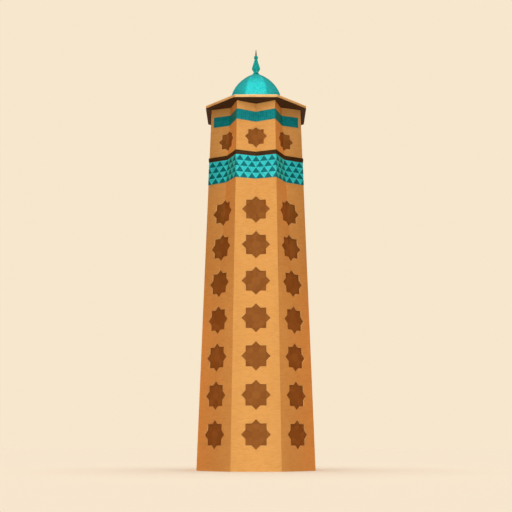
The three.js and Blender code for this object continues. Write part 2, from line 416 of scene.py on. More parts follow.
def bed_cells(piece, front, joint, chamfer, height):
    """Make each cell of the open sheet a closed brick or tile of this height, with its face at the front."""
    number_cells(piece)
    bpy.ops.mesh.select_all(action="SELECT")
    bpy.ops.transform.translate(value=(0, front + height, 0))
    bpy.ops.mesh.inset(thickness=joint, depth=0, use_individual=True)
    bpy.ops.mesh.select_all(action="INVERT")
    bpy.ops.mesh.delete(type="FACE")
    bpy.ops.mesh.select_all(action="SELECT")
    bpy.ops.mesh.inset(thickness=chamfer, depth=height, use_individual=True)
    bpy.ops.mesh.select_mode(type="EDGE")
    bpy.ops.mesh.select_all(action="DESELECT")
    bpy.ops.mesh.select_non_manifold(extend=False, use_wire=False, use_multi_face=False,
                                     use_non_contiguous=False, use_verts=False)
    bpy.ops.mesh.fill_holes(sides=0)
    bpy.ops.mesh.select_mode(type="FACE")
    bpy.ops.mesh.select_all(action="SELECT")
    bpy.ops.mesh.normals_make_consistent(inside=False)
    close_up()


def make_former(name, width, front, back, height, across, levels, bent):
    """A lattice with straight lines round flat work, which takes each of its points to bent(place)."""
    bpy.ops.object.select_all(action="DESELECT")
    bpy.ops.object.add(type="LATTICE", location=(0, (front + back) / 2, height / 2))
    former = bpy.context.object
    former.name = name
    former.scale = (width, back - front, height)
    former.data.points_u = across
    former.data.points_v = 2
    former.data.points_w = levels
    for direction in ("u", "v", "w"):
        setattr(former.data, "interpolation_type_" + direction, "KEY_LINEAR")
    bpy.context.view_layer.update()
    for point in former.data.points:
        place = bent(former.matrix_world @ point.co)
        point.co_deform = former.matrix_world.inverted() @ place
    return former


def bend_on(piece, former):
    """Bend a flat piece as the former is bent."""
    take_up(piece)
    piece.modifiers.new("bend", "LATTICE").object = former
    bpy.ops.object.modifier_apply(modifier="bend")


def folded(place):
    """Where a place in flat brickwork comes to lie on the folded, tapering face 1."""
    return Vector((
        place.x * (1 - place.y / flat_at(place.z)),
        place.y - crease_at(place.z) - fold_at(place.z) * abs(place.x),
        place.z))


# The former's levels are 2.31 m apart, and the fold starts at one of them
folding_former = make_former(
    "folding_former", width=4.2, front=-0.1, back=0.3, height=27.72, across=3, levels=13, bent=folded)


def fold(piece):
    """Bend a piece that was modelled flat onto the folded face."""
    bend_on(piece, folding_former)


def thicken(piece, front, back):
    """Give a flat sheet its thickness between two depths behind the face of the wall."""
    open_up(piece)
    bpy.ops.transform.translate(value=(0, front, 0))
    close_up()
    slab = piece.modifiers.new("thickness", "SOLIDIFY")
    slab.thickness = back - front
    slab.offset = -1
    bpy.ops.object.modifier_apply(modifier="thickness")


def finish_with(piece, material):
    piece.data.materials.clear()
    piece.data.materials.append(material)


def join(pieces, name):
    bpy.ops.object.select_all(action="DESELECT")
    for piece in pieces:
        piece.select_set(True)
    bpy.context.view_layer.objects.active = pieces[0]
    bpy.ops.object.join()
    pieces[0].name = name
    pieces[0].data.name = name
    return pieces[0]


def set_down(piece, location=(0, 0, 0), rotation=(0, 0, 0)):
    """Turn a piece and move it to its place, which becomes part of its mesh."""
    take_up(piece)
    piece.location = location
    piece.rotation_euler = rotation
    bpy.ops.object.transform_apply()


def turned_copy(piece, name, face):
    """A copy with its own mesh, turned from face 1 to another face, whose bricks get their own numbers."""
    take_up(piece)
    bpy.ops.object.duplicate()
    copy = bpy.context.object
    copy.name = name
    copy.data.name = name
    set_down(copy, rotation=(0, 0, face * FACE_ANGLE))
    layer = copy.data.uv_layers.active
    if layer:
        values = [0.0] * (2 * len(layer.data))
        layer.data.foreach_get("uv", values)
        values[1::2] = [face + 0.5] * len(layer.data)
        layer.data.foreach_set("uv", values)
    return copy


def core_of(node, share, on_face, material):
    """The masonry behind the facing: the modelled solid, with its outer face drawn in behind the mortar."""
    core = bpy.data.objects.new(node + "_core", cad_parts[node].data.copy())
    scene.collection.objects.link(core)
    open_up(core)
    bpy.ops.mesh.remove_doubles(threshold=MERGED)
    pick_corners(core, on_face)
    bpy.ops.transform.resize(value=(share, share, 1), center_override=(0, 0, 0))
    close_up()
    finish_with(core, material)
    return core


def noise(place, scale, detail, **more):
    return place.node("TexNoise", inputs={"Vector": place, "Scale": scale, "Detail": detail, **more})


def cell_tone(paint):
    """A tone from 0 to 1 for each brick or tile, from its number on the UV map."""
    cell = paint.node("VectorMath", {"operation": "FLOOR"}, {0: paint.node("UVMap")})
    return paint.node("TexWhiteNoise", {"noise_dimensions": "2D"}, {"Vector": cell})


def feed_relief(height, shader, strength, distance=0.002):
    bump = {"Strength": strength, "Distance": distance, "Height": height}
    feed(height.node("Bump", inputs=bump), shader, "Normal")


def brick_finish():
    """Matt buff brick: every brick has its own tone, and its face is grainy with small dark specks."""
    material, shader, paint = new_material("buff_brick", 0.88)
    place = paint.node("TexCoord", output="Object")
    cloud = noise(place, 0.35, 3)
    grain = noise(place, 140, 4, Roughness=0.6)
    specks = noise(place, 60, 2).between(0.63, 0.72)
    fired = paint.node("ValToRGB", {"stops": [
        (0.0, (0.72, 0.31, 0.06)), (0.2, (0.76, 0.335, 0.067)), (0.6, (0.78, 0.352, 0.073)),
        (1.0, (0.8, 0.375, 0.083))]}, {0: cell_tone(paint)})
    dusted = (cloud * 0.5 + grain * 0.5).between(0.25, 0.8).blend(fired, (0.8, 0.39, 0.1, 1))
    flecked = (specks * 0.5).blend(paint.mix(0.3, fired, dusted), (0.42, 0.17, 0.04, 1))
    feed(flecked, shader, "Base Color")
    feed(grain * 0.2 + 0.78, shader, "Roughness")
    feed_relief(grain, shader, 0.5)
    return material


def lime_mortar_finish():
    """Sandy lime mortar, matt and paler in patches."""
    material, shader, paint = new_material("lime_mortar", 0.95)
    place = paint.node("TexCoord", output="Object")
    sand = noise(place, 260, 3)
    patchy = (noise(place, 1.7, 4) * 0.6 + sand * 0.4).between(0.3, 0.7)
    feed(patchy.blend((0.64, 0.31, 0.085, 1), (0.76, 0.42, 0.14, 1)), shader, "Base Color")
    feed_relief(sand, shader, 0.6, 0.003)
    return material


def inner_brick_finish():
    """The brick behind the facing, which shows in the recesses, the well and the foot: courses in relief."""
    material, shader, paint = new_material("inner_brick", 0.9)
    place = paint.node("TexCoord", output="Object")
    height = paint.node("SeparateXYZ", inputs={0: place}, output="Z") * (1 / COURSE)
    joint = paint.maths("PINGPONG", paint.maths("FRACT", height), 0.5).between(0.05, 0.12)
    tone = paint.node("TexWhiteNoise", {"noise_dimensions": "1D"}, {"W": paint.maths("FLOOR", height)})
    grain = noise(place, 120, 4)
    fired = (tone * 0.6 + grain * 0.4).between(0.1, 0.9)
    brick = fired.blend((0.62, 0.26, 0.06, 1), (0.76, 0.35, 0.09, 1))
    feed(joint.blend((0.7, 0.39, 0.13, 1), brick), shader, "Base Color")
    feed_relief(joint * 0.8 + grain * 0.2, shader, 0.7, 0.006)
    return material


BUFF_BRICK = brick_finish()
LIME_MORTAR = lime_mortar_finish()
INNER_BRICK = inner_brick_finish()


def on_wall_face(spot):
    """Whether a corner of the modelled wall lies on the wall's outer face."""
    return abs(spot.y + crease_at(spot.z) + fold_at(spot.z) * abs(spot.x)) < NEAR_FACE


def brick_sheet(name, columns, bottom, course, courses, top=None):
    """An open sheet of staggered bricks, trimmed to the face and to its top, and cut at the fold."""
    bricks = sheet(name, columns * BRICK_LENGTH, bottom, bottom + courses * course, columns, courses)
    open_up(bricks)
    stagger(bricks, bottom, course, BRICK_LENGTH)
    trim_to_width(JOINT)
    if top:
        trim((0, 0, top), (0, 0, 1))
    cut_at_fold(bricks)
    part_cells()
    return bricks


def lay_bricks(bricks, stars, recess):
    """Cut the open sheet of bricks round its stars, and lay it on the folded face."""
    for height in stars:
        cut_star(bricks, height, recess - JOINT * math.sqrt(2))
    drop_slivers(bricks, NARROWEST_BRICK)
    # Parts of a brick are joined again where a cut ran on beyond the outline it was made for
    bpy.ops.mesh.select_all(action="SELECT")
    bpy.ops.mesh.dissolve_limited(angle_limit=0.01)
    bed_cells(bricks, 0, JOINT, CHAMFER, BRICK_DEPTH)
    fold(bricks)
    finish_with(bricks, BUFF_BRICK)


def mortar_sheet(name, columns, bottom, top, rows):
    """An open sheet of mortar, trimmed to the face."""
    mortar = sheet(name, columns * BRICK_LENGTH, bottom, top, columns, rows)
    open_up(mortar)
    trim_to_width(0)
    return mortar


def spread_mortar(mortar, stars, recess):
    """Cut the open sheet of mortar round its stars, and lay it on the folded face."""
    for height in stars:
        cut_star(mortar, height, recess - MORTAR_ROOM)
    close_up()
    thicken(mortar, MORTAR_FRONT, MORTAR_BACK)
    fold(mortar)
    finish_with(mortar, LIME_MORTAR)


shaft_bricks = brick_sheet("shaft_bricks", SHAFT_COLUMNS, 0, COURSE, COURSES)
lay_bricks(shaft_bricks, SHAFT_STARS, RECESS_RADIUS)
shaft_mortar = mortar_sheet("shaft_mortar", SHAFT_COLUMNS, 0, SHAFT_TOP, COURSES // 4)
spread_mortar(shaft_mortar, SHAFT_STARS, RECESS_RADIUS)
shaft_core = core_of("shaft_wall_1", CORE_SHARE, on_wall_face, INNER_BRICK)
shaft_wall = join([shaft_bricks, shaft_mortar, shaft_core], "shaft_brickwork_1")


def stand_on_faces(first, name, node):
    """Stand turned copies of face 1's piece on the others. Each of the eight takes its own node's place."""
    pieces = [first] + [turned_copy(first, f"{name}_{face + 1}", face) for face in range(1, FACES)]
    for number, piece in enumerate(pieces, 1):
        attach(piece, "root")
        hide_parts(f"{node}_{number}")


stand_on_faces(shaft_wall, "shaft_brickwork", "shaft_wall")

# Star inlays
# Eight-pointed stars of brown terracotta, sunk 6 cm into the wall. Each is pieced from shaped tiles with fine
# joints: an octagon in the middle, eight panels round it and eight points, bedded on a plate of brown mortar.

STAR_RADIUS = 1.0
STAR_HEART = 0.34
STAR_NOTCH = math.cos(math.pi / 4) / math.cos(math.pi / 8)
STAR_FRONT = 0.06
STAR_TILE = 0.022
STAR_JOINT = 0.004
STAR_CHAMFER = 0.006
STAR_BED_FRONT = 0.076
STAR_BED_BACK = 0.12


def star_sheet(name, radius, heart):
    """A flat star round the origin, parted into its heart, its panels and its points."""
    bpy.ops.object.select_all(action="DESELECT")
    bpy.ops.mesh.primitive_circle_add(
        vertices=16, radius=radius, fill_type="TRIFAN", rotation=(math.pi / 2, 0, 0))
    bpy.ops.object.transform_apply()
    star = bpy.context.object
    star.name = name
    open_up(star)

    def is_notch(spot):
        return spot.length > radius / 2 and round(math.atan2(spot.z, spot.x) / (math.pi / 8)) % 2 == 1

    pick_corners(star, is_notch)
    bpy.ops.transform.resize(value=(STAR_NOTCH, 1, STAR_NOTCH), center_override=(0, 0, 0))
    bpy.ops.mesh.select_mode(type="EDGE")
    bpy.ops.mesh.select_all(action="DESELECT")
    mesh = bmesh.from_edit_mesh(star.data)
    for edge in mesh.edges:
        ends = sorted(vert.co.length for vert in edge.verts)
        edge.select_set(ends[0] < SLACK and ends[1] > radius * 0.9)
    bmesh.update_edit_mesh(star.data)
    bpy.ops.mesh.dissolve_edges(use_verts=False)
    pick_corners(star, lambda spot: spot.length < SLACK)
    bpy.ops.mesh.bevel(affect="VERTICES", offset=heart)
    pick_corners(star, is_notch)
    bpy.ops.mesh.vert_connect()
    bpy.ops.mesh.select_mode(type="FACE")
    close_up()
    return star


def terracotta_finish():
    """Brown terracotta: every tile a little lighter or darker, with a worn, slightly blotched face."""
    material, shader, paint = new_material("brown_terracotta", 0.75, Specular_IOR_Level=0.1)
    place = paint.node("TexCoord", output="Object")
    grain = noise(place, 110, 4)
    burnt = (cell_tone(paint) * 0.55 + noise(place, 5, 5) * 0.45).between(0.15, 0.85)
    tint = burnt.blend((0.26, 0.079, 0.01, 1), (0.318, 0.104, 0.017, 1))
    feed(grain.between(0.6, 0.78).blend(tint, (0.37, 0.13, 0.03, 1)), shader, "Base Color")
    feed(grain * 0.25 + 0.58, shader, "Roughness")
    feed_relief(grain, shader, 0.4)
    return material


def brown_mortar_finish():
    """Mortar colored with brick dust, so that the joints between the terracotta tiles stay quiet."""
    material, shader, paint = new_material("brown_mortar", 0.95)
    sand = noise(paint.node("TexCoord", output="Object"), 240, 3)
    feed(sand.between(0.3, 0.7).blend((0.2, 0.066, 0.013, 1), (0.3, 0.105, 0.024, 1)), shader, "Base Color")
    feed_relief(sand, shader, 0.5)
    return material


TERRACOTTA = terracotta_finish()
BROWN_MORTAR = brown_mortar_finish()


def order_cells(piece):
    """Put the cells of the open sheet in order by place, so that each keeps its number from run to run."""

    def place_of(face):
        middle = face.calc_center_median()
        return round(middle.z * 1000) * 10 + middle.x

    mesh = bmesh.from_edit_mesh(piece.data)
    mesh.faces.sort(key=place_of)
    bmesh.update_edit_mesh(piece.data)


def star_inlay(name, radius, heart, heights):
    """The stars of one face, as shaped tiles on their beds."""
    tiles = star_sheet(name, radius, heart)
    set_down(tiles, location=(0, 0, heights[0]))
    if len(heights) > 1:
        rows = tiles.modifiers.new("rows", "ARRAY")
        rows.count = len(heights)
        rows.use_relative_offset = False
        rows.use_constant_offset = True
        rows.constant_offset_displace = (0, 0, heights[1] - heights[0])
        bpy.ops.object.modifier_apply(modifier="rows")
    open_up(tiles)
    cut_at_fold(tiles)
    close_up()
    bpy.ops.object.duplicate()
    bed = bpy.context.object
    thicken(bed, STAR_BED_FRONT, STAR_BED_BACK)
    fold(bed)
    finish_with(bed, BROWN_MORTAR)
    open_up(tiles)
    part_cells()
    order_cells(tiles)
    bed_cells(tiles, STAR_FRONT, STAR_JOINT, STAR_CHAMFER, STAR_TILE)
    fold(tiles)
    finish_with(tiles, TERRACOTTA)
    return join([tiles, bed], name)


shaft_star = star_inlay("shaft_star_inlay_1", STAR_RADIUS, STAR_HEART, SHAFT_STARS)
stand_on_faces(shaft_star, "shaft_star_inlay", "shaft_stars")

# Upper storey
# The same brickwork above the string course, round one smaller star a face. It stops at the teal
# band. On the far side faces the band ends short of the edge, and the bricks run up past its end.

STRING_TOP = 22.6
TEAL_BOTTOM = 24.995
TEAL_TOP = 25.8
TEAL_WIDTH = half_width((TEAL_BOTTOM + TEAL_TOP) / 2)
TEAL_END_GAP = 0.22
PAST_EDGE = 0.1
COURSES_TO_BAND = 33
UPPER_COURSE = (TEAL_BOTTOM - STRING_TOP) / COURSES_TO_BAND
UPPER_COURSES = 54
UPPER_COLUMNS = 12
UPPER_MORTAR_BOTTOM = STRING_TOP + 0.0005
UPPER_MORTAR_ROWS = 14
UPPER_STARS = [23.75]
UPPER_STAR_RADIUS = 0.805
UPPER_STAR_HEART = 0.27
UPPER_RECESS_RADIUS = 0.815
# The gaps at the teal band's left and right ends, and the faces that have them
UPPER_FACES = [
    (0, 0, (1, 5)),
    (0, TEAL_END_GAP, (2, 6)),
    (TEAL_END_GAP, TEAL_END_GAP, (3, 7)),
    (TEAL_END_GAP, 0, (4, 8))]


def teal_ends(left_gap, right_gap):
    """Where the teal band ends to the left and right of a face: past the edge, or short of it."""
    return (left_gap or -PAST_EDGE) - TEAL_WIDTH, TEAL_WIDTH - (right_gap or -PAST_EDGE)


def leave_out_band(piece, left, right):
    """Cut the teal band's place out of an open sheet."""
    for level in (TEAL_BOTTOM, TEAL_TOP):

        def crosses_level(face):
            heights = [vert.co.z for vert in face.verts]
            return min(heights) < level - SLACK / 2 and max(heights) > level + SLACK / 2

        trim((0, 0, level), (0, 0, 1), crosses_level, piece, clear=False)
    for end in (left, right):

        def crosses_end(face):
            reach = [vert.co.x for vert in face.verts]
            return min(reach) < end < max(reach) and TEAL_BOTTOM < face.calc_center_median().z < TEAL_TOP

        trim((end, 0, 0), (1, 0, 0), crosses_end, piece, clear=False)

    def in_band(face):
        middle = face.calc_center_median()
        return TEAL_BOTTOM < middle.z < TEAL_TOP and left < middle.x < right

    if pick(piece, in_band):
        bpy.ops.mesh.delete(type="FACE")


def upper_brickwork(name, left, right):
    bricks = brick_sheet(name, UPPER_COLUMNS, STRING_TOP, UPPER_COURSE, UPPER_COURSES, CORNICE_BOTTOM)
    leave_out_band(bricks, left, right)
    lay_bricks(bricks, UPPER_STARS, UPPER_RECESS_RADIUS)
    mortar = mortar_sheet(name, UPPER_COLUMNS, UPPER_MORTAR_BOTTOM, CORNICE_BOTTOM, UPPER_MORTAR_ROWS)
    leave_out_band(mortar, left, right)
    spread_mortar(mortar, UPPER_STARS, UPPER_RECESS_RADIUS)
    core = core_of("upper_wall_1", CORE_SHARE, on_wall_face, INNER_BRICK)
    return join([bricks, mortar, core], name)


for left_gap, right_gap, faces in UPPER_FACES:
    pattern = upper_brickwork("upper_brickwork", *teal_ends(left_gap, right_gap))
    for face in faces:
        wall = turned_copy(pattern, f"upper_brickwork_{face}", face - 1)
        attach(wall, "root")
        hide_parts(f"upper_wall_{face}")
    bpy.data.objects.remove(pattern)

upper_star = star_inlay("upper_star_inlay_1", UPPER_STAR_RADIUS, UPPER_STAR_HEART, UPPER_STARS)
stand_on_faces(upper_star, "upper_star_inlay", "upper_star")

# Mosaic band
# Four rows of glazed triangles run round the tower: dark teal ones that point up, each in a frame of
# thin light strips, and light turquoise ones between them. Each large one is pieced from small
# three-cornered tiles.

HAIRLINE = 0.0003
BAND_BOTTOM = SHAFT_TOP + HAIRLINE
BAND_TOP = 22.265
BAND_ROWS = 4
BAND_ROW = (BAND_TOP - BAND_BOTTOM) / BAND_ROWS
BAND_MIDDLE = (BAND_TOP + BAND_BOTTOM) / 2
BAND_TRIANGLES = 5
BAND_PITCH = 2 * half_width(BAND_MIDDLE) / BAND_TRIANGLES
BAND_COLUMNS = 7
BAND_FRONT = -0.02
BAND_BACK = 0.1
BED_COLUMNS = 12
MOSAIC_BED_FRONT = BAND_FRONT + 0.005
BAND_TILE = 0.012
STRIP = 0.012
MOSAIC_JOINT = 0.002
MOSAIC_CHAMFER = 0.002
NARROWEST_MOSAIC = 0.008
LEAST_LIGHT_AREA = 0.1


def glaze_finish(name, deep, pale, speck):
    """Glazed tile: every tile has its own depth of color, and the glaze pools, crazes and dulls a little."""
    material, shader, paint = new_material(name, 0.42, Specular_IOR_Level=0.14)
    place = paint.node("TexCoord", output="Object")
    pools = noise(place, 14, 4)
    crazing = paint.node("TexVoronoi", {"feature": "DISTANCE_TO_EDGE"}, {"Vector": place, "Scale": 55})
    crack = crazing.between(0.0, 0.03)
    tint = (cell_tone(paint) * 0.7 + pools * 0.3).between(0.1, 0.9).blend(deep, pale)
    flecked = (noise(place, 75, 2).between(0.68, 0.74) * 0.5).blend(tint, speck)
    feed(((1 - crack) * 0.15).blend(flecked, speck), shader, "Base Color")
    feed(pools * 0.25 + 0.32, shader, "Roughness")
    feed_relief(pools * 0.6 + crack * 0.4, shader, 0.3)
    return material


def grout_finish():
    """Teal grout, sandy and a little stained."""
    material, shader, paint = new_material("teal_grout", 0.9)
    place = paint.node("TexCoord", output="Object")
    sand = noise(place, 200, 3)
    stained = (sand * 0.5 + noise(place, 3, 3) * 0.5).between(0.3, 0.7)
    feed(stained.blend((0.006, 0.2, 0.195, 1), (0.02, 0.32, 0.31, 1)), shader, "Base Color")
    feed_relief(sand, shader, 0.4)
    return material


LIGHT_GLAZE = glaze_finish(
    "turquoise_glaze", (0.03, 0.61, 0.61, 1), (0.058, 0.75, 0.75, 1), (0.22, 0.85, 0.83, 1))
DARK_GLAZE = glaze_finish(
    "dark_teal_glaze", (0.001, 0.13, 0.14, 1), (0.003, 0.175, 0.185, 1), (0.012, 0.28, 0.28, 1))
GROUT = grout_finish()

triangles = sheet("mosaic_tiles", BAND_COLUMNS * BAND_PITCH, BAND_BOTTOM, BAND_TOP, BAND_COLUMNS, BAND_ROWS)
open_up(triangles)
pick_corners(triangles, lambda spot: round((BAND_TOP - spot.z) / BAND_ROW) % 2 == 0)
bpy.ops.transform.translate(value=(BAND_PITCH / 2, 0, 0))
bpy.ops.mesh.select_mode(type="FACE")
bpy.ops.mesh.select_all(action="SELECT")
bpy.ops.mesh.quads_convert_to_tris(quad_method="SHORTEST_DIAGONAL")


def points_up(face):
    share = ((face.calc_center_median().z - BAND_BOTTOM) / BAND_ROW) % 1
    return len(face.verts) == 3 and share < 0.5


pick(triangles, points_up)
bpy.ops.mesh.inset(thickness=STRIP, depth=0, use_individual=True)
mesh = bmesh.from_edit_mesh(triangles.data)
for triangle in mesh.faces:
    triangle.material_index = 1 if triangle.select else 0
bmesh.update_edit_mesh(triangles.data)
pick(triangles, lambda face: face.material_index == 1)
bpy.ops.mesh.subdivide(number_cuts=3, quadcorner="INNERVERT")
pick(triangles, lambda face: face.material_index == 0 and face.calc_area() > LEAST_LIGHT_AREA)
bpy.ops.mesh.subdivide(number_cuts=4, quadcorner="INNERVERT")
# The pattern is drawn in or out level by level, so that it fits the tapering face all the way up
mesh = bmesh.from_edit_mesh(triangles.data)
for vert in mesh.verts:
    vert.co.x *= half_width(vert.co.z) / half_width(BAND_MIDDLE)
bmesh.update_edit_mesh(triangles.data)
trim_to_width(MOSAIC_JOINT)
cut_at_fold(triangles)
part_cells()
drop_slivers(triangles, NARROWEST_MOSAIC)
bed_cells(triangles, BAND_FRONT, MOSAIC_JOINT, MOSAIC_CHAMFER, BAND_TILE)
fold(triangles)
triangles.data.materials.append(LIGHT_GLAZE)
triangles.data.materials.append(DARK_GLAZE)


def bed_slab(name, bottom, top, front, material, rows):
    """The bed that the tiles of a band lie on, across one face."""
    slab = sheet(name, 2 * half_width(0), bottom, top, BED_COLUMNS, rows)
    open_up(slab)
    trim_to_width(0)
    close_up()
    thicken(slab, front, BAND_BACK)
    fold(slab)
    finish_with(slab, material)
    return slab


def ring_of(pattern, name):
    """Eight turned copies of one face's pattern, joined into one ring."""
    copies = [turned_copy(pattern, f"{name}_{face}", face) for face in range(1, FACES)]
    return join([pattern, *copies], name)


mosaic_bed = bed_slab("mosaic_bed", BAND_BOTTOM, BAND_TOP, MOSAIC_BED_FRONT, GROUT, rows=5)
mosaic = ring_of(join([triangles, mosaic_bed], "mosaic_face"), "mosaic_tiling")
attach(mosaic, "root")
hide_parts("mosaic_band")

# String course
# Three courses of dark brown moulded bricks stand out from the wall over the mosaic: the lowest a
# little less than the two above it, so that rain drips clear of the tiles.

STRING_BOTTOM = BAND_TOP + HAIRLINE
STRING_COURSES = 3
STRING_COURSE = (STRING_TOP - STRING_BOTTOM) / STRING_COURSES
STRING_FRONT = -0.06
STRING_RAISE = 0.04
STRING_STEP = 0.022
STRING_JOINT = 0.003
STRING_CHAMFER = 0.008
STRING_BED_FRONT = -0.032


def dark_brick_finish():
    """Dark brown brick, rubbed paler in patches here and there."""
    material, shader, paint = new_material("dark_brown_brick", 0.75, Specular_IOR_Level=0.15)
    place = paint.node("TexCoord", output="Object")
    grain = noise(place, 90, 4)
    rubbed = noise(place, 9, 5).between(0.6, 0.75)
    fired = (cell_tone(paint) * 0.6 + grain * 0.4).between(0.1, 0.9)
    tint = fired.blend((0.043, 0.017, 0.004, 1), (0.075, 0.032, 0.008, 1))
    feed((rubbed * 0.5).blend(tint, (0.13, 0.06, 0.02, 1)), shader, "Base Color")
    feed(grain * 0.3 + 0.55, shader, "Roughness")
    feed_relief(grain, shader, 0.4)
    return material


DARK_BRICK = dark_brick_finish()
string = brick_sheet("string_bricks", UPPER_COLUMNS, STRING_BOTTOM, STRING_COURSE, STRING_COURSES)
drop_slivers(string, NARROWEST_BRICK)
bed_cells(string, STRING_FRONT, STRING_JOINT, STRING_CHAMFER, STRING_RAISE)
open_up(string)
second_course = STRING_BOTTOM + STRING_COURSE
pick(string, lambda face: face.normal.y < -0.9 and face.calc_center_median().z < second_course)
bpy.ops.transform.translate(value=(0, STRING_STEP, 0))
close_up()
fold(string)
finish_with(string, DARK_BRICK)
string_bed = bed_slab("string_bed", STRING_BOTTOM, STRING_TOP, STRING_BED_FRONT, DARK_BRICK, rows=1)
string_course = ring_of(join([string, string_bed], "string_face"), "string_course_bricks")
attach(string_course, "root")
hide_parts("string_course")

# Teal band
# Five rows of dark teal glazed tiles, 15 cm high, on a bed that stands out from the bricks under
# the cornice. On the far side faces the band ends short of the edge.

TEAL_ROWS = 5
TEAL_COLUMNS = 20
TEAL_TILE = 0.012
TEAL_JOINT = 0.003
TEAL_CHAMFER = 0.004
NARROWEST_TEAL = 0.012
TEAL_BED_FRONT = BAND_FRONT + 0.006
TEAL_BED_ROWS = 3
TEAL_GLAZE = glaze_finish(
    "teal_glaze", (0.001, 0.185, 0.185, 1), (0.004, 0.255, 0.252, 1), (0.015, 0.35, 0.345, 1))


def teal_sheet(name, past, columns, rows, left, right, margin):
    """An open sheet across one face, trimmed to the ends of the teal band."""
    piece = sheet(name, 2 * (TEAL_WIDTH + past), TEAL_BOTTOM, TEAL_TOP, columns, rows)
    open_up(piece)
    trim_to_width(margin)
    trim((left + margin, 0, 0), (-1, 0, 0))
    trim((right - margin, 0, 0), (1, 0, 0))
    return piece


teal_parts = []
for left_gap, right_gap, faces in UPPER_FACES:
    ends = teal_ends(left_gap, right_gap)
    tiles = teal_sheet("teal_tiles", 0, TEAL_COLUMNS, TEAL_ROWS, *ends, TEAL_JOINT)
    part_cells()
    drop_slivers(tiles, NARROWEST_TEAL)
    bed_cells(tiles, BAND_FRONT, TEAL_JOINT, TEAL_CHAMFER, TEAL_TILE)
    fold(tiles)
    finish_with(tiles, TEAL_GLAZE)
    bed = teal_sheet("teal_bed", PAST_EDGE, BED_COLUMNS, TEAL_BED_ROWS, *ends, 0)
    close_up()
    thicken(bed, TEAL_BED_FRONT, BAND_BACK)
    fold(bed)
    finish_with(bed, GROUT)
    pattern = join([tiles, bed], "teal_face")
    teal_parts += [turned_copy(pattern, f"teal_face_{face}", face - 1) for face in faces]
    bpy.data.objects.remove(pattern)
teal_tiling = join(teal_parts, "teal_tiling")
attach(teal_tiling, "root")
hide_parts("teal_band")
bpy.data.objects.remove(folding_former)

# Cornice soffit
# Dark stained boards lie side by side under the overhang, parallel to each edge and mitred at the
# corners. They are nailed up to a backing of the same wood, and an edge board closes them all round.
# The wood is near-black brown: painted shade for the underside of the overhang.

SOFFIT_BOTTOM = CORNICE_BOTTOM + HAIRLINE
SOFFIT_TOP = 26.523
SOFFIT_RADIUS = 4.085
SOFFIT_REACH = SOFFIT_RADIUS * math.cos(HALF_FACE)
BACKING_REACH = SOFFIT_REACH - 0.01
EDGE_BOARD = 0.03
WELL_REACH = 2.0
BOARD = 0.02
BOARD_ROWS = 8
BOARD_INNER = 2.32
BOARD_JOINT = 0.004
SPARE_WIDTH = 0.05
BLOCK_JOINT = 0.002
BLOCK_CHAMFER = 0.004


def sector(name, inner, outer, rows):
    """An open flat eighth of a ring, standing up for now: its height is the distance from the axis."""
    piece = sheet(name, 2 * (outer * math.tan(HALF_FACE) + SPARE_WIDTH), inner, outer, 1, rows)
    open_up(piece)
    for side in (-1, 1):
        trim((0, 0, 0), (side, 0, -math.tan(HALF_FACE)))
    return piece


def shade_dark_wood_finish():
    """Dark brown stained wood, streaked and fibrous, made near-black as painted shade under the overhang."""
    material, shader, paint = new_material("dark_stained_wood", 0.7, Specular_IOR_Level=0.15)
    place = paint.node("TexCoord", output="Object")
    streaks = noise(place, 24, 5, Distortion=1.2)
    fibres = noise(place, 160, 3)
    stained = (cell_tone(paint) * 0.5 + streaks * 0.5).between(0.15, 0.85)
    tint = stained.blend((0.036, 0.014, 0.004, 1), (0.07, 0.03, 0.009, 1))
    feed((fibres * 0.3).blend(tint, (0.09, 0.042, 0.014, 1)), shader, "Base Color")
    feed(streaks * 0.3 + 0.5, shader, "Roughness")
    feed_relief(fibres, shader, 0.4)
    return material


# Near-black wood for the soffit boards, backing and edge board: painted shade under the overhang
SHADE_DARK_WOOD = shade_dark_wood_finish()
face_down = (math.pi / 2, 0, 0)
boards = sector("soffit_boards", BOARD_INNER, SOFFIT_REACH - EDGE_BOARD, BOARD_ROWS)
part_cells()
bed_cells(boards, 0, BOARD_JOINT, BOARD_JOINT, BOARD)
set_down(boards, (0, 0, SOFFIT_BOTTOM), face_down)
backing = sector("soffit_backing", WELL_REACH, BACKING_REACH, rows=1)
close_up()
thicken(backing, BOARD - BOARD_JOINT, SOFFIT_TOP - SOFFIT_BOTTOM)
set_down(backing, (0, 0, SOFFIT_BOTTOM), face_down)


def edge_blocks(name, bottom, top, reach, thickness, material, count):
    """A row of boards or dressed blocks along one side of the octagon, with their faces at this reach."""
    width = 2 * (reach * math.tan(HALF_FACE) + BLOCK_JOINT)
    blocks = sheet(name, width, bottom - BLOCK_JOINT, top + BLOCK_JOINT, count, 1)
    open_up(blocks)
    part_cells()
    bed_cells(blocks, -reach, BLOCK_JOINT, BLOCK_CHAMFER, thickness)
    finish_with(blocks, material)
    return blocks


# The edge board's near-black wood is painted shade
edge_board = edge_blocks(
    "soffit_edge", SOFFIT_BOTTOM, SOFFIT_TOP, SOFFIT_REACH, EDGE_BOARD, SHADE_DARK_WOOD, count=2)
soffit = ring_of(join([boards, backing, edge_board], "soffit_face"), "soffit_boarding")
finish_with(soffit, SHADE_DARK_WOOD)
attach(soffit, "root")
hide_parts("cornice_soffit")

# Cornice slab
# The edge of the roof slab shows as a light tan fascia over the dark edge board, whose near-black wood
# is painted shade: six dressed blocks a side under a thin coping of paler stone, painted lighter as the
# highlight along the cornice's top edge. The slab behind them is one plate that closes the top of the tower.

SLAB_BOTTOM = SOFFIT_TOP + HAIRLINE
SLAB_TOP = 26.712
COPING_BOTTOM = 26.666
EAVE_RADIUS = 4.1
EAVE_REACH = EAVE_RADIUS * math.cos(HALF_FACE)
FASCIA_TOP = COPING_BOTTOM - 0.002
FASCIA_REACH = EAVE_REACH - 0.012
BLOCK = 0.03


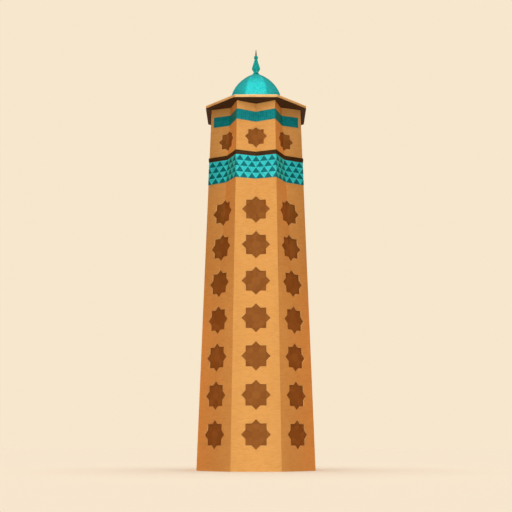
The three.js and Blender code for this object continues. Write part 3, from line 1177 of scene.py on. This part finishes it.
def stone_finish(name, deep, pale):
    """Fine light tan stone, matt, with soft clouds and small pits."""
    material, shader, paint = new_material(name, 0.85)
    place = paint.node("TexCoord", output="Object")
    pits = noise(place, 85, 3)
    tint = (cell_tone(paint) * 0.5 + noise(place, 3.5, 5) * 0.5).between(0.15, 0.85).blend(deep, pale)
    feed((pits.between(0.6, 0.75) * 0.4).blend(tint, deep), shader, "Base Color")
    feed_relief(pits, shader, 0.4, 0.003)
    return material


FASCIA_STONE = stone_finish("fascia_stone", (0.8, 0.42, 0.13, 1), (0.92, 0.53, 0.19, 1))
# The coping stone is paler than the fascia: painted highlight along the top edge of the cornice
COPING_HIGHLIGHT_STONE = stone_finish("coping_stone", (0.88, 0.56, 0.23, 1), (0.97, 0.66, 0.32, 1))

fascia = edge_blocks("fascia", SLAB_BOTTOM, FASCIA_TOP, FASCIA_REACH, BLOCK, FASCIA_STONE, count=6)
coping = edge_blocks("coping", COPING_BOTTOM, SLAB_TOP, EAVE_REACH, BLOCK, COPING_HIGHLIGHT_STONE, count=4)
edge_ring = ring_of(join([fascia, coping], "cornice_edge"), "cornice_edge")
bpy.ops.object.select_all(action="DESELECT")
bpy.ops.mesh.primitive_cylinder_add(
    vertices=FACES, radius=EAVE_RADIUS - BLOCK, depth=SLAB_TOP - SLAB_BOTTOM,
    location=(0, 0, (SLAB_TOP + SLAB_BOTTOM) / 2), rotation=(0, 0, HALF_FACE))
bpy.ops.object.transform_apply()
plate = bpy.context.object
finish_with(plate, FASCIA_STONE)
cornice = join([edge_ring, plate], "cornice_slab_edge")
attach(cornice, "root")
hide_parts("cornice_slab")

# Roof
# The low hump between the cornice and the dome is paved with square tan tiles, laid in courses on
# a mortar bed and mitred at the hips.

ROOF_RISE = 0.1777
ROOF_BOTTOM = SLAB_TOP + HAIRLINE
ROOF_TOP_RADIUS = 2.42
ROOF_RUN = (EAVE_RADIUS - ROOF_TOP_RADIUS) * math.cos(HALF_FACE)
ROOF_LENGTH = math.hypot(ROOF_RUN, ROOF_RISE)
ROOF_SLOPE = math.atan2(ROOF_RISE, ROOF_RUN)
ROOF_BED_RISE = ROOF_RISE - 0.01
ROOF_BED_FOOT = EAVE_RADIUS - 0.04
ROOF_BED_TOP = ROOF_TOP_RADIUS - 0.01
PAVER = 0.012
PAVER_WIDTH = 0.21
PAVER_COLUMNS = 16
PAVER_ROWS = 8
PAVER_JOINT = 0.004
MITRE_JOINT = 0.003

paving = sheet("roof_paving", PAVER_COLUMNS * PAVER_WIDTH, 0, ROOF_LENGTH, PAVER_COLUMNS, PAVER_ROWS)
open_up(paving)
stagger(paving, 0, ROOF_LENGTH / PAVER_ROWS, PAVER_WIDTH)
for side in (-1, 1):
    trim((side * (EAVE_REACH * math.tan(HALF_FACE) + MITRE_JOINT), 0, 0),
         (side, 0, math.cos(ROOF_SLOPE) * math.tan(HALF_FACE)))
drop_slivers(paving, NARROWEST_BRICK)
bed_cells(paving, 0, PAVER_JOINT, PAVER_JOINT, PAVER)
set_down(paving, (0, -EAVE_REACH, ROOF_BOTTOM), (ROOF_SLOPE - math.pi / 2, 0, 0))
PAVING_TILE = stone_finish("paving_tile", (0.6, 0.3, 0.09, 1), (0.76, 0.42, 0.16, 1))
finish_with(paving, PAVING_TILE)
paving = ring_of(paving, "roof_tiles")
bpy.ops.object.select_all(action="DESELECT")
bpy.ops.mesh.primitive_cone_add(
    vertices=FACES, radius1=ROOF_BED_FOOT, radius2=ROOF_BED_TOP, depth=ROOF_BED_RISE,
    location=(0, 0, ROOF_BOTTOM + ROOF_BED_RISE / 2), rotation=(0, 0, HALF_FACE))
bpy.ops.object.transform_apply()
roof_bed = bpy.context.object
finish_with(roof_bed, LIME_MORTAR)
roof = join([paving, roof_bed], "roof_paving")
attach(roof, "root")
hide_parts("roof_deck")

# Dome drum
# A low ring wall carries the dome. It is faced with two courses of the tower's own brick, in
# stretcher bond like the walls, on a core that is plastered with the same lime mortar.

DRUM_BOTTOM = 26.8903
DRUM_TOP = 27.04
DRUM_RADIUS = 2.27
DRUM_REACH = DRUM_RADIUS * math.cos(HALF_FACE)
DRUM_BRICKS = 7
DRUM_LENGTH = 2 * DRUM_REACH * math.tan(HALF_FACE) / DRUM_BRICKS
DRUM_COLUMNS = DRUM_BRICKS + 1
DRUM_COURSES = 2
DRUM_JOINT = 0.004
DRUM_CORE_SHARE = 0.9955

drum_side = sheet(
    "drum_bricks", DRUM_COLUMNS * DRUM_LENGTH, DRUM_BOTTOM, DRUM_TOP, DRUM_COLUMNS, DRUM_COURSES)
open_up(drum_side)
stagger(drum_side, DRUM_BOTTOM, (DRUM_TOP - DRUM_BOTTOM) / DRUM_COURSES, DRUM_LENGTH)
for side in (-1, 1):
    trim((side * (DRUM_REACH * math.tan(HALF_FACE) + MITRE_JOINT), 0, 0), (side, 0, 0))
drop_slivers(drum_side, NARROWEST_BRICK)
bed_cells(drum_side, -DRUM_REACH, DRUM_JOINT, CHAMFER, BRICK_DEPTH)
finish_with(drum_side, BUFF_BRICK)
drum_bricks = ring_of(drum_side, "drum_bricks")
drum_core = core_of("dome_drum", DRUM_CORE_SHARE, lambda spot: spot.xy.length > 2.2, LIME_MORTAR)
drum = join([drum_bricks, drum_core], "drum_brickwork")
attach(drum, "root")
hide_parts("dome_drum")

# Dome
# Eight curved gores meet in sharp arrises and rise to a point. They are faced with small square
# turquoise tiles in level courses, cut along the arrises and bedded in teal grout.

DOME_RADIUS = 2.13
DOME_RISE = 3.0
DOME_FLAT_RADIUS = 0.2
DOME_RISE_POWER = 2.2
DOME_ROUND_POWER = 0.8
DOME_BOTTOM = DRUM_TOP + HAIRLINE
DOME_COURSES = 30
DOME_COLUMNS = 14
DOME_TILE = 0.012
DOME_JOINT = 0.003
DOME_BED_FRONT = DOME_TILE - 0.004
DOME_BED_BACK = 0.15
NARROWEST_DOME_TILE = 0.014
FINE_STEPS = 400
FLAT_SHARE = (1 - (DOME_FLAT_RADIUS / DOME_RADIUS) ** (1 / DOME_ROUND_POWER)) ** (1 / DOME_RISE_POWER)


def gore_curve(share):
    """Reach of the middle of a gore from the axis, and its height, at a share of the dome's rise."""
    radius = DOME_RADIUS * (1 - share ** DOME_RISE_POWER) ** DOME_ROUND_POWER
    return Vector((radius * math.cos(HALF_FACE), DOME_BOTTOM + share * DOME_RISE))


steps = range(FINE_STEPS + 1)
fine_curve = [gore_curve(FLAT_SHARE * math.sin(step / FINE_STEPS * math.pi / 2)) for step in steps]
lengths = [0.0]
for start, end in zip(fine_curve, fine_curve[1:]):
    lengths.append(lengths[-1] + (end - start).length)
GORE_LENGTH = lengths[-1]
GORE_ROW = GORE_LENGTH / DOME_COURSES
gore_levels = []
for level in range(DOME_COURSES + 1):
    at = min(steps, key=lambda step: abs(lengths[step] - level * GORE_ROW))
    before, after = fine_curve[max(at - 1, 0)], fine_curve[min(at + 1, FINE_STEPS)]
    rise = (after - before).normalized()
    gore_levels.append((fine_curve[at], Vector((rise.y, -rise.x))))


def curved(place):
    """Where a place in the flat tiling comes to lie on the gore of face 1."""
    curve, outward = gore_levels[round(place.z / GORE_ROW)]
    sunk = curve - outward * place.y
    return Vector((place.x * sunk.x / curve.x, -sunk.x, sunk.y))


gore_former = make_former(
    "gore_former", width=2, front=-0.2, back=0.2, height=GORE_LENGTH, across=2, levels=DOME_COURSES + 1,
    bent=curved)


def gore_sheet(name, margin):
    """An open flat sheet cut row by row to the outline of an unrolled gore."""
    gore = sheet(name, DOME_COLUMNS * GORE_ROW, 0, GORE_LENGTH, DOME_COLUMNS, DOME_COURSES)
    open_up(gore)
    part_cells()
    for row in range(DOME_COURSES):
        low = gore_levels[row][0].x * math.tan(HALF_FACE) + margin
        high = gore_levels[row + 1][0].x * math.tan(HALF_FACE) + margin

        def in_row(face):
            return int(face.calc_center_median().z / GORE_ROW) == row

        for side in (-1, 1):
            trim((side * low, 0, row * GORE_ROW), (side * GORE_ROW, 0, low - high), in_row, gore)
    return gore


DOME_GLAZE = glaze_finish("dome_glaze", (0.012, 0.58, 0.57, 1), (0.035, 0.7, 0.69, 1), (0.2, 0.82, 0.8, 1))
gore_tiles = gore_sheet("gore_tiles", DOME_JOINT)
drop_slivers(gore_tiles, NARROWEST_DOME_TILE)
bed_cells(gore_tiles, 0, DOME_JOINT, DOME_JOINT, DOME_TILE)
bend_on(gore_tiles, gore_former)
finish_with(gore_tiles, DOME_GLAZE)
gore_bed = gore_sheet("gore_bed", 0)
bpy.ops.mesh.select_all(action="SELECT")
bpy.ops.mesh.remove_doubles(threshold=SLACK)
close_up()
thicken(gore_bed, DOME_BED_FRONT, DOME_BED_BACK)
bend_on(gore_bed, gore_former)
finish_with(gore_bed, GROUT)
bpy.data.objects.remove(gore_former)
dome = ring_of(join([gore_tiles, gore_bed], "gore"), "dome_tiling")
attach(dome, "root")
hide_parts("dome_shell")

# The dome has a small lamp of its own in place of the strips
for light in [front_strip, *side_strips]:
    light_only(light, [floor, dome], "EXCLUDE")
bpy.ops.object.light_add(type="AREA", location=(0, -6.4, 29.2), rotation=(math.radians(88), 0, 0))
dome_lamp = bpy.context.object
dome_lamp.data.size = 1.5
dome_lamp.data.energy = 255
dome_lamp.visible_camera = False
light_only(dome_lamp, [dome], "INCLUDE")

# Finial
# A turned spindle of turquoise glazed ware on the crown: a flared foot, a narrow neck, a sharp-edged
# belly and a long taper. A ball of the same ware sits on it, and a bronze spike ends it.

SPINDLE_BOTTOM = gore_levels[-1][0].y + HAIRLINE
SPINDLE = [
    (0.2599, 0.0), (0.2599, 0.02), (0.238, 0.045), (0.205, 0.085), (0.187, 0.13), (0.18, 0.175), (0.183, 0.2),
    (0.212, 0.245), (0.262, 0.34), (0.31, 0.428), (0.323, 0.452), (0.3255, 0.47), (0.321, 0.49), (0.31, 0.53),
    (0.284, 0.622), (0.28, 0.634), (0.281, 0.646), (0.274, 0.66), (0.2, 0.91), (0.196, 0.922), (0.197, 0.934),
    (0.19, 0.948), (0.124, 1.18), (0.128, 1.2), (0.128, 1.235), (0.119, 1.2497)]
BALL_RADIUS = 0.16
BALL_HEIGHT = 31.385
SPINDLE_TOP = 31.24
BALL_BOTTOM = SPINDLE_TOP + HAIRLINE
BALL_TOP_RADIUS = 0.068
BALL_TOP = BALL_HEIGHT + math.sqrt(BALL_RADIUS ** 2 - BALL_TOP_RADIUS ** 2)
BALL_STEPS = 18
SPIKE_BOTTOM = BALL_TOP + HAIRLINE
SPIKE_TIP = 32.07
SPIKE = [
    (0.0675, 0.0), (0.0675, 0.012), (0.06, 0.022), (0.056, 0.03), (0.056, 0.05), (0.045, 0.22), (0.029, 0.39),
    (0.015, 0.5), (0.004, SPIKE_TIP - SPIKE_BOTTOM)]


def turned(name, profile, base, segments=40):
    """A shape turned on the axis, from radii and heights above its base."""
    bpy.ops.object.select_all(action="DESELECT")
    bpy.ops.mesh.primitive_circle_add(
        vertices=segments, radius=profile[0][0], fill_type="NGON", location=(0, 0, base + profile[0][1]))
    bpy.ops.object.transform_apply()
    piece = bpy.context.object
    piece.name = name
    open_up(piece)
    for (radius, height), (next_radius, next_height) in zip(profile, profile[1:]):
        bpy.ops.mesh.extrude_region_move(TRANSFORM_OT_translate={"value": (0, 0, next_height - height)})
        share = next_radius / radius
        bpy.ops.transform.resize(value=(share, share, 1), center_override=(0, 0, base + next_height))
    bpy.ops.mesh.select_all(action="SELECT")
    bpy.ops.mesh.normals_make_consistent(inside=False)
    close_up()
    bpy.ops.object.shade_smooth_by_angle(angle=math.radians(32))
    return piece


def bronze_finish():
    """Brown bronze with a dull patina that gathers in patches."""
    material, shader, paint = new_material("brown_bronze", 0.45, Metallic=1.0)
    place = paint.node("TexCoord", output="Object")
    patina = noise(place, 22, 5).between(0.45, 0.62)
    feed(patina.blend((0.13, 0.055, 0.02, 1), (0.06, 0.035, 0.015, 1)), shader, "Base Color")
    feed(patina * 0.35 + 0.4, shader, "Roughness")
    feed(0.9 - patina * 0.5, shader, "Metallic")
    feed_relief(noise(place, 180, 2), shader, 0.25, 0.001)
    return material


FINIAL_GLAZE = glaze_finish(
    "finial_glaze", (0.003, 0.36, 0.33, 1), (0.01, 0.45, 0.42, 1), (0.1, 0.6, 0.57, 1))
spindle = turned("finial_spindle_turned", SPINDLE, SPINDLE_BOTTOM)
finish_with(spindle, FINIAL_GLAZE)
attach(spindle, "root")
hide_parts("finial_spindle")

low_angle = math.asin((BALL_BOTTOM - BALL_HEIGHT) / BALL_RADIUS)
high_angle = math.asin((BALL_TOP - BALL_HEIGHT) / BALL_RADIUS)
ball_profile = []
for step in range(BALL_STEPS + 1):
    angle = low_angle + (high_angle - low_angle) * step / BALL_STEPS
    rise = BALL_RADIUS * math.sin(angle) + BALL_HEIGHT - BALL_BOTTOM
    ball_profile.append((BALL_RADIUS * math.cos(angle), rise))
ball = turned("finial_ball_turned", ball_profile, BALL_BOTTOM)
finish_with(ball, FINIAL_GLAZE)
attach(ball, "root")
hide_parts("finial_ball")

spike = turned("finial_spike_turned", SPIKE, SPIKE_BOTTOM, segments=24)
finish_with(spike, bronze_finish())
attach(spike, "root")
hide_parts("finial_spike")
